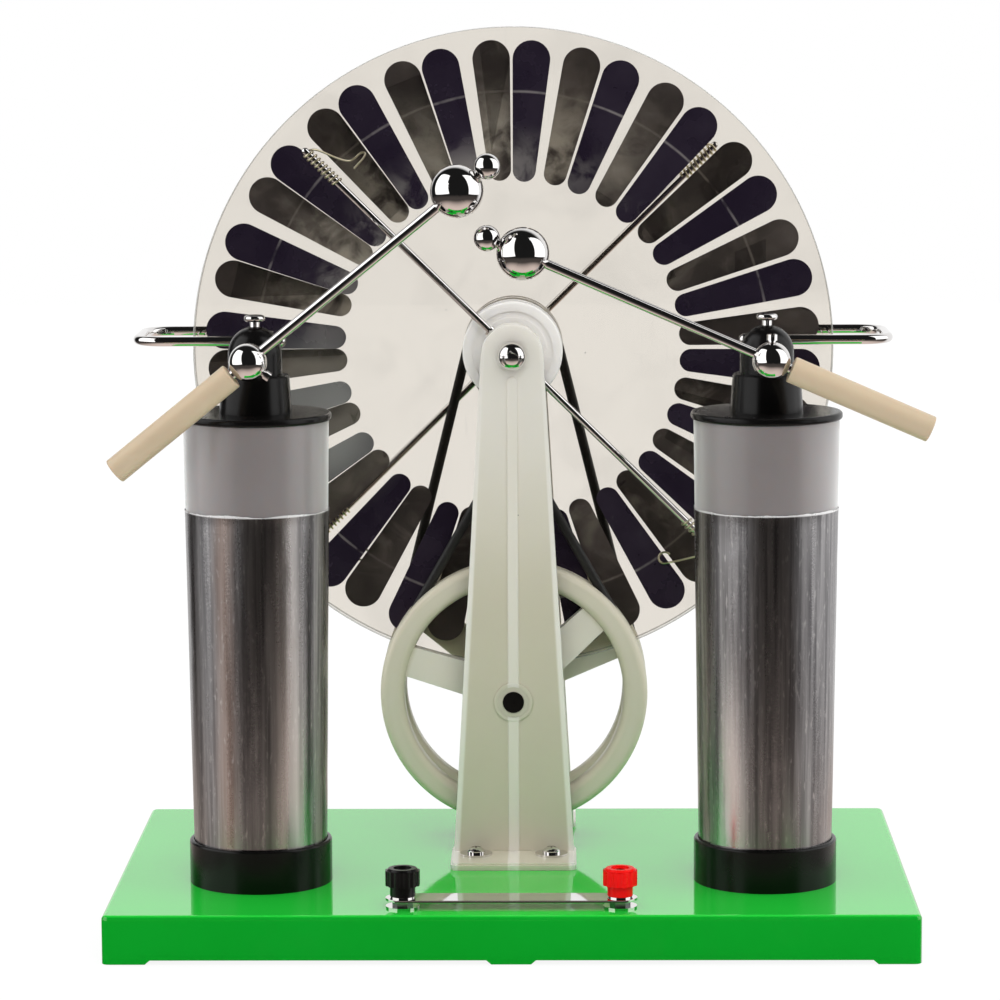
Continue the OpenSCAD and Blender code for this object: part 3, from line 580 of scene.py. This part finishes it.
def soften(node, name, edge):
    """The same part with its sharp edges rounded to a radius of edge millimetres."""
    bm = bmesh.new()
    bm.from_mesh(frame["nodes"][node].data)
    bmesh.ops.remove_doubles(bm, verts=bm.verts, dist=0.000002)
    bmesh.ops.dissolve_limit(bm, angle_limit=math.radians(0.3), verts=bm.verts, edges=bm.edges)
    mesh = bpy.data.meshes.new(name)
    bm.to_mesh(mesh)
    bm.free()
    mesh.shade_smooth()
    piece = put_in_place(name, mesh, body_of(node), node)
    rounding = piece.modifiers.new("rounded_edges", "BEVEL")
    rounding.limit_method = "ANGLE"
    rounding.angle_limit = math.radians(32)
    rounding.width = edge * MM
    rounding.segments = 3
    rounding.miter_outer = "MITER_ARC"
    flats = piece.modifiers.new("flat_faces", "WEIGHTED_NORMAL")
    flats.weight = 80
    flats.keep_sharp = False
    return piece


def round_wire(name, runs, radius, body, *nodes, closed=False):
    """Round wires or a belt, each run along its own points in millimetres."""
    data = bpy.data.curves.new(name, "CURVE")
    data.dimensions = "3D"
    data.bevel_depth = radius * MM
    data.bevel_resolution = 5
    data.use_fill_caps = not closed
    for points in runs:
        spline = data.splines.new("POLY")
        spline.points.add(len(points) - 1)
        for knot, point in zip(spline.points, points):
            knot.co = (*(Vector(point) * MM), 1)
        spline.use_cyclic_u = closed
        spline.use_smooth = True
    return put_in_place(name, data, body, *nodes)


BELT_R = 2.1
WHEEL_BELT_R = 54.5
HUB_BELT_R = 19
FRONT_BELT_Y = 27
REAR_BELT_Y = 50


def belt_strand(start, end, length, crossing, side, steps=36):
    """Points between the ends of one strand, pushed to one side where it passes the other strand."""
    push = side * (BELT_R + 0.3)
    reach = 25
    points = []
    for i in range(1, steps):
        near = max(0, 1 - abs(length * i / steps - crossing) / reach)
        bulge = push * math.sin(math.radians(90 * near)) ** 2
        points.append(start.lerp(end, i / steps) + Vector((0, bulge, 0)))
    return points


def belt_line(crossed):
    """Round the wheel, up one strand, over the hub and down the other."""
    rise = AXLE_Z - SHAFT_Z
    side = -1 if crossed else 1
    lean = math.degrees(math.asin((WHEEL_BELT_R - side * HUB_BELT_R) / rise))
    strand = rise * math.cos(math.radians(lean))
    crossing = strand * WHEEL_BELT_R / (WHEEL_BELT_R + HUB_BELT_R)

    def bend(radius, height, start, turn, steps):
        angles = [math.radians(start + turn * i / steps) for i in range(steps + 1)]
        return [Vector((radius * math.cos(a), 0, height + radius * math.sin(a))) for a in angles]

    low = bend(WHEEL_BELT_R, SHAFT_Z, 180 - lean, 180 + 2 * lean, 72)
    if crossed:
        high = bend(HUB_BELT_R, AXLE_Z, 180 + lean, -(180 + 2 * lean), 40)
    else:
        high = bend(HUB_BELT_R, AXLE_Z, lean, 180 - 2 * lean, 32)
    push = 1 if crossed else 0
    return (low + belt_strand(low[-1], high[0], strand, crossing, push) + high
            + belt_strand(high[-1], low[0], strand, strand - crossing, -push))


def fit_belts():
    for name, crossed, y in (("front_belt", True, FRONT_BELT_Y), ("rear_belt", False, REAR_BELT_Y)):
        line = [point + Vector((0, y, 0)) for point in belt_line(crossed)]
        round_wire(name + "_rubber", [line], BELT_R, "stand", name, closed=True)


WIRE_R = 0.45
COIL_R = 2.12
COIL_END = 121
COIL_PITCH = 2.05
COIL_TURNS = 9
# The run of each brush wire from its coil to its hook: outwards, towards the disc, and with its turn
UPPER_TAIL = (
    (-0.1, 0.3, 1.3), (-1.4, 1.5, 3), (-4, 3.5, 4.3), (-7.4, 6, 5.4), (-10.8, 8.8, 6.6),
    (-13.6, 11.2, 7.9), (-15.4, 12.9, 9.4), (-16.1, 13.7, 11.6), (-16.2, 13.7, 14.2), (-17, 13.7, 15.8),
    (-18.1, 13.7, 15.6), (-18.7, 13.7, 13.8), (-18.8, 13.7, 11), (-18.9, 13.7, 8),
)
LOWER_TAIL = (
    (-0.1, 0.3, 1.4), (-0.8, 1.6, 3.6), (-2.2, 3.3, 6.4), (-3.8, 5.5, 9.4), (-5.2, 7.9, 12.3),
    (-6.4, 10.5, 15), (-7.6, 12.7, 17.4), (-8.8, 13.7, 19.4), (-10.4, 13.7, 21.2), (-12.2, 13.7, 21.4),
    (-13.6, 13.7, 20.2), (-13.8, 13.7, 18.4), (-12.6, 13.7, 16.8), (-10.8, 13.7, 16.3),
)


def flowing(points, steps):
    """A smooth line through the points, with that many steps from each to the next."""
    last = len(points) - 1
    line = []
    for i in range(last):
        before, start, end, after = (points[min(max(i + k, 0), last)] for k in (-1, 0, 1, 2))
        square = 2 * before - 5 * start + 4 * end - after
        cube = 3 * start - before - 3 * end + after
        for k in range(steps):
            t = k / steps
            line.append(0.5 * (2 * start + (end - before) * t + square * t * t + cube * t ** 3))
    return line + [points[-1]]


def brush_line(tail):
    """Wire wound on the end of a neutral rod that runs out towards the disc and ends in a flat hook."""
    start = COIL_END - COIL_TURNS * COIL_PITCH
    around = 24
    coil = []
    for i in range(COIL_TURNS * around):
        a = math.radians(360 * i / around)
        along = start + COIL_PITCH * i / around
        coil.append(Vector((along, COIL_R * math.cos(a), -COIL_R * math.sin(a))))
    ends = [coil[-1], Vector((COIL_END, COIL_R, 0))]
    ends += [Vector((COIL_END + x, COIL_R + y, -z)) for x, y, z in tail]
    # The first stretch of the smooth line lies along the coil
    steps = 6
    return coil + flowing(ends, steps)[steps:]


def fit_brushes():
    """Both wires of each neutral rod, in one piece, lying as their rod does."""
    for side in ("front", "rear"):
        rod = Matrix.Translation((0, NEUTRAL_Y, AXLE_Z))
        rod = rod @ Matrix.Rotation(math.radians(-NEUTRAL_ANGLE), 4, "Y")
        if side == "rear":
            middle = Matrix.Translation((0, MID_Y, 0))
            rod = middle @ Matrix.Rotation(math.pi, 4, "Z") @ middle.inverted() @ rod
        upper = [rod @ point for point in brush_line(UPPER_TAIL)]
        turned = rod @ Matrix.Rotation(math.pi, 4, "Y")
        lower = [turned @ point for point in brush_line(LOWER_TAIL)]
        round_wire(side + "_brush_wires", [upper, lower], WIRE_R,
                   side + "_neutralizer", side + "_brushes")


# Degrees by which the sheet of foil on a jar laps over itself
FOIL_LAP = 20


def bottle_radius(height):
    """Outer radius of a bottle at a height above the base."""
    return BOTTLE_FOOT_R + (BOTTLE_TOP_R - BOTTLE_FOOT_R) * height / BOTTLE_H


def wrap_foil(side):
    """A sheet of foil rolled round a bottle, lapped at the back, with a folded and uneven top."""
    name = "left" if side < 0 else "right"
    top = FOIL_TOP - 1.1
    bm = bmesh.new()
    bmesh.ops.create_grid(bm, x_segments=220, y_segments=96, size=0.5)
    for vert in bm.verts:
        u, v = vert.co.x + 0.5, vert.co.y + 0.5
        turn = math.radians(90 + (360 + FOIL_LAP) * u)
        # Upright ripples of the sheet, dents and the fine unevenness of its top edge
        here = Vector((math.cos(turn) * 2.2, math.sin(turn) * 2.2, side * 5))
        ripple = noise.noise(here * 2.4 + Vector((0, 0, v * 0.5)))
        dent = max(0, noise.noise(here * 1.6 + Vector((3, 1, v * 7))) - 0.28)
        edge = noise.noise(here * 1.1 + Vector((7, 0, 0))) * 0.8 + noise.noise(here * 5) * 0.25
        fold = max(0, (v - 0.988) / 0.012)
        height = FOIL_FOOT + (top - FOIL_FOOT) * v + edge * max(0, (v - 0.9) / 0.1)
        # The sheet's last degrees lie over its first ones
        lap = 0.16 * max(0, min(1, (u - 0.945) / 0.01))
        bulge = 0.22 + lap + 0.07 * ripple - 0.22 * dent + 0.18 * math.sin(math.pi * fold * 0.8)
        radius = bottle_radius(height) + bulge
        x = side * JAR_X + radius * math.cos(turn)
        y = JAR_Y + radius * math.sin(turn)
        vert.co = Vector((x, y, BASE_H + height)) * MM
    bmesh.ops.recalc_face_normals(bm, faces=bm.faces)
    mesh = bpy.data.meshes.new(name + "_foil_wrap")
    bm.to_mesh(mesh)
    bm.free()
    mesh.shade_smooth()
    return put_in_place(name + "_foil_wrap", mesh, "stand", name + "_outer_foil")


def dress_machine():
    fit_belts()
    fit_brushes()
    for side in (-1, 1):
        wrap_foil(side)
    soften("base_tray", "base_moulding", 0.6)
    for edge, *nodes in ((0.7, "front_post", "rear_post"), (0.6, "front_wheel", "rear_wheel"),
                         (0.8, "crank_arm"), (0.22, "black_knob", "red_knob"), (0.15, "link_strip")):
        for node in nodes:
            soften(node, node + "_moulding", edge)


# Studio


# How many degrees down the camera looks, as near as the mirrored windows need it
CAMERA_DIP = 7.6
# The even light that matt surfaces get from the room, and the glow of the paper to the camera
ROOM_LIGHT = 0.44
PAPER_GLOW = 1.03
# Half the length and half the depth of the base
BASE_HALF_X = 165
BASE_HALF_Y = 105


def ray_kinds(tree):
    """Whether the camera sees the ray, directly or through glass, whether it is mirrored, and its length."""
    node = tree.nodes.new("ShaderNodeLightPath")
    camera, through, glossy, length = (Signal(tree, node.outputs[name]) for name in (
        "Is Camera Ray", "Is Transmission Ray", "Is Glossy Ray", "Ray Length"))
    return camera.highest(through), glossy, length


def floor_paper():
    """White paper; in metal it shows warm near the machine and ends a little way off."""
    paper = Finish("floor_paper", Roughness=0.9, Base_Color=(0.9, 0.9, 0.9))
    seen, glossy, length = ray_kinds(paper.tree)
    x, y, _ = paper.axes()
    beside = (abs(x) - BASE_HALF_X).highest(0)
    before = (abs(y) - BASE_HALF_Y).highest(0)
    away = (beside * beside + before * before).root()
    glow = paper.add("ShaderNodeEmission", "Emission", Color=(1, 1, 1), Strength=seen * PAPER_GLOW)
    plain = paper.blend(seen * (0.88 + 0.12 * away.ramp(60, 420)), paper.surface, glow)
    warm = paper.add("ShaderNodeEmission", "Emission", Color=(0.92, 0.76, 0.68), Strength=0.85)
    clear = paper.add("ShaderNodeBsdfTransparent", "BSDF", Color=(1, 1, 1))
    share = 0.92 * away.ramp(420, 30) + 0.08 * away.ramp(1500, 450)
    # The front of the base, close above the paper, mirrors only its own shade there
    share = share * length.ramp(0.08, 0.22)
    paper.show(paper.blend(glossy, plain, paper.blend(share, clear, warm)))
    return paper


def mirrored(across, up):
    """The direction a ball mirrors at a point of its outline in the camera's view, -1 to 1 each way."""
    out = math.sqrt(1 - across ** 2 - up ** 2)
    ray = Vector((2 * out * across, 1 - 2 * out ** 2, 2 * out * up))
    ray.rotate(Matrix.Rotation(math.radians(-CAMERA_DIP), 3, "X"))
    return ray


# Corners of the softboxes where the spark balls mirror them, each list anticlockwise
LEFT_CORNERS = ((-0.78, -0.1), (-0.27, -0.12), (-0.24, 0.55), (-0.52, 0.62))
RIGHT_CORNERS = ((0.45, -0.13), (0.84, -0.1), (0.62, 0.5), (0.2, 0.57))


def window(way, corners):
    """1 for directions within the corners of a softbox and 0 outside them, with soft edges."""
    rays = [mirrored(*corner) for corner in corners]
    inside = 1.0
    for first, second in zip(rays, rays[1:] + rays[:1]):
        edge = first.cross(second).normalized()
        inside = (edge.x * way[0] + edge.y * way[1] + edge.z * way[2]).ramp(-0.02, 0.03) * inside
    return inside


def lay_floor():
    """The sheet of paper that the machine stands on."""
    bm = bmesh.new()
    bmesh.ops.create_grid(bm, x_segments=1, y_segments=1, size=1)
    bmesh.ops.scale(bm, vec=(3.0, 2.3, 1), verts=bm.verts)
    bmesh.ops.translate(bm, vec=(0, 0.7, -0.0002), verts=bm.verts)
    mesh = bpy.data.meshes.new("floor")
    bm.to_mesh(mesh)
    bm.free()
    floor = bpy.data.objects.new("floor", mesh)
    bpy.context.scene.collection.objects.link(floor)
    mesh.materials.append(floor_paper().material)


def surround():
    """A white backdrop, and in mirrors also a window on either side of a dark room in front."""
    world = bpy.data.worlds.new("room")
    world.use_nodes = True
    tree = world.node_tree
    tree.nodes.clear()
    output = tree.nodes.new("ShaderNodeOutputWorld")
    light = tree.nodes.new("ShaderNodeBackground")
    where = tree.nodes.new("ShaderNodeTexCoord")
    split = tree.nodes.new("ShaderNodeSeparateXYZ")
    tree.links.new(where.outputs["Generated"], split.inputs[0])
    way = [Signal(tree, socket) for socket in split.outputs]
    behind = (way[1] + 0.3 * way[0]).ramp(0.45, 0.75)
    windows = window(way, LEFT_CORNERS) + window(way, RIGHT_CORNERS)
    seen, glossy, _ = ray_kinds(tree)
    room = 0.012 + (0.98 * behind).highest(1.7 * windows)
    strength = (1 - glossy) * ROOM_LIGHT + glossy * room
    strength = strength * (1 - seen) + seen
    light.inputs["Color"].default_value = (1, 1, 1, 1)
    tree.links.new(strength.socket, light.inputs["Strength"])
    tree.links.new(light.outputs[0], output.inputs[0])
    bpy.context.scene.world = world


def softbox(name, position, aim, width, height, power):
    """A lamp for matt surfaces; metal mirrors the windows of the world instead."""
    data = bpy.data.lights.new(name, "AREA")
    data.shape = "RECTANGLE"
    data.size = width
    data.size_y = height
    data.energy = power
    lamp = bpy.data.objects.new(name, data)
    bpy.context.scene.collection.objects.link(lamp)
    lamp.location = position
    lamp.rotation_euler = (Vector(aim) - Vector(position)).to_track_quat("-Z", "Y").to_euler()
    lamp.visible_glossy = False


def studio():
    """A pale floor, a white backdrop behind, a softbox on either side and a dim room in front."""
    lay_floor()
    surround()
    softbox("left_softbox", (-1.15, 0.1, 0.6), (0, 0.1, 0.5), 0.95, 1.2, 5.6)
    softbox("right_softbox", (1.15, -0.05, 0.62), (0, -0.05, 0.5), 1.15, 1.9, 9.5)
    softbox("front_fill", (0.1, -1.6, 1.5), (0, 0, 0.2), 1.4, 0.9, 18.0)
    softbox("top_fill", (0, 0.1, 1.9), (0, 0, 0), 1.6, 1.2, 13.0)


aim_camera()
dress_frame()
dress_machine()
studio()
bpy.context.scene.view_settings.view_transform = "Standard"
